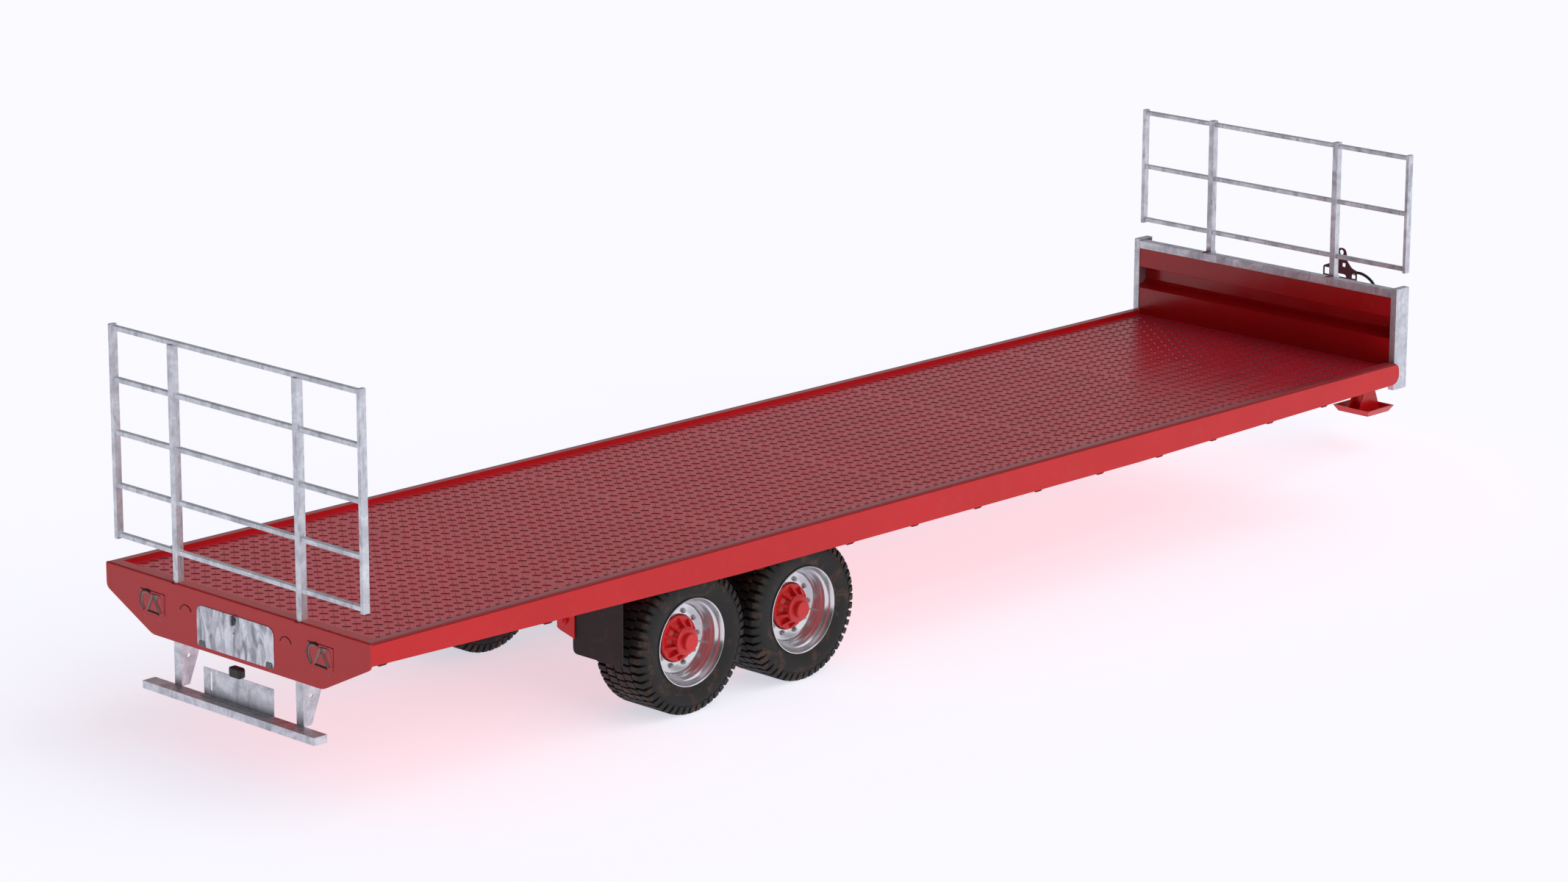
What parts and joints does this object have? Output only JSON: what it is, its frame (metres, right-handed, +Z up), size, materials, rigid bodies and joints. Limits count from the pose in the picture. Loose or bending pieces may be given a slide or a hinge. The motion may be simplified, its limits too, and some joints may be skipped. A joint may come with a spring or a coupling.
{
  "type": "flatbed bale trailer",
  "caption": "Long tandem-axle flatbed farm trailer with a treadplate deck, galvanised front and rear racks, headboard, rear bumper and drawbar jack.",
  "frame": {"origin": "on the ground, midway along and across the trailer", "axes": "+X forward along the bed, +Y to the trailer's left, +Z up"},
  "size_m": [11.36, 2.444, 2.546],
  "materials": {
    "red_paint": "gloss two-pack paint",
    "deck_paint": "gloss paint on five-bar tread plate",
    "galvanised": "hot-dip galvanised, mottled",
    "wheel_silver": "bright silver with light dust",
    "hub_paint": "satin paint on cast iron",
    "tyre": "rubber with dried mud",
    "flap_rubber": "matt black rubber sheet",
    "hose_rubber": "black hydraulic hose",
    "lamp_lens": "dark bezel and red lens",
    "black_plastic": "moulded",
    "bare_steel": "forged, oiled"
  },
  "bodies": {
    "trailer": {"main_beam_left": "red_paint", "side_rail_left": "red_paint", "main_beam_right": "red_paint", "side_rail_right": "red_paint", "rear_beam": "red_paint", "cross_bearer_1": "red_paint", "cross_bearer_2": "red_paint", "cross_bearer_3": "red_paint", "cross_bearer_4": "red_paint", "cross_bearer_5": "red_paint", "cross_bearer_6": "red_paint", "cross_bearer_7": "red_paint", "deck_sheet_1": "deck_paint", "deck_sheet_2": "deck_paint", "deck_sheet_3": "deck_paint", "deck_sheet_4": "deck_paint", "deck_sheet_5": "deck_paint", "deck_sheet_6": "deck_paint", "headboard_post_left": "galvanised", "headboard_post_right": "galvanised", "headboard_top_rail": "galvanised", "headboard_panel": "red_paint", "rear_lamp_left": "lamp_lens", "bumper_leg_left": "galvanised", "rear_lamp_right": "lamp_lens", "bumper_leg_right": "galvanised", "bumper_bar": "galvanised", "number_plate_bracket": "galvanised", "number_plate_lamp": "black_plastic", "mudflap_left": "flap_rubber", "mudflap_right": "flap_rubber", "bogie_hanger": "red_paint", "drawbar": "red_paint", "towing_eye": "bare_steel", "jack_tube": "red_paint", "hose_stand": "red_paint", "hose": "hose_rubber"},
    "rear_rack": {"rear_rack": "galvanised"},
    "front_rack": {"front_rack": "galvanised"},
    "tail_door": {"tail_door": "galvanised"},
    "door_latch": {"door_latch": "bare_steel"},
    "bogie": {"leaf_spring_left": "red_paint", "leaf_spring_right": "red_paint", "axle_rear": "red_paint", "axle_front": "red_paint"},
    "wheel_rear_left": {"tyre_rear_left": "tyre", "rim_rear_left": "wheel_silver", "hub_rear_left": "hub_paint"},
    "wheel_rear_right": {"tyre_rear_right": "tyre", "rim_rear_right": "wheel_silver", "hub_rear_right": "hub_paint"},
    "wheel_front_left": {"tyre_front_left": "tyre", "rim_front_left": "wheel_silver", "hub_front_left": "hub_paint"},
    "wheel_front_right": {"tyre_front_right": "tyre", "rim_front_right": "wheel_silver", "hub_front_right": "hub_paint"},
    "jack_leg": {"jack_leg": "red_paint"}
  },
  "joints": [
    {"name": "rear_rack_lift", "type": "slide", "parent": "trailer", "child": "rear_rack", "axis": [0, 0, 1], "range_m": [0, 0.12]},
    {"name": "front_rack_lift", "type": "slide", "parent": "trailer", "child": "front_rack", "axis": [0, 0, 1], "range_m": [0, 0.2]},
    {"name": "tail_door_swing", "type": "hinge", "parent": "trailer", "child": "tail_door", "pos_m": [-5.6043, 0, 0.71], "axis": [0, -1, 0], "range_deg": [0, 95]},
    {"name": "door_latch_turn", "type": "hinge", "parent": "tail_door", "child": "door_latch", "pos_m": [-5.6106, 0.01, 0.935], "axis": [1, 0, 0], "range_deg": [0, 90]},
    {"name": "bogie_rock", "type": "hinge", "parent": "trailer", "child": "bogie", "pos_m": [-2.424, 0, 0.545], "axis": [0, 1, 0], "range_deg": [-4, 4]},
    {"name": "wheel_rear_left_spin", "type": "hinge", "parent": "bogie", "child": "wheel_rear_left", "pos_m": [-2.916, 0.955, 0.461], "axis": [0, 1, 0], "continuous": true},
    {"name": "wheel_rear_right_spin", "type": "hinge", "parent": "bogie", "child": "wheel_rear_right", "pos_m": [-2.916, -0.955, 0.461], "axis": [0, 1, 0], "continuous": true},
    {"name": "wheel_front_left_spin", "type": "hinge", "parent": "bogie", "child": "wheel_front_left", "pos_m": [-1.932, 0.955, 0.461], "axis": [0, 1, 0], "continuous": true},
    {"name": "wheel_front_right_spin", "type": "hinge", "parent": "bogie", "child": "wheel_front_right", "pos_m": [-1.932, -0.955, 0.461], "axis": [0, 1, 0], "continuous": true},
    {"name": "jack_slide", "type": "slide", "parent": "trailer", "child": "jack_leg", "axis": [0, 0, -1], "range_m": [0, 0.4]}
  ]
}
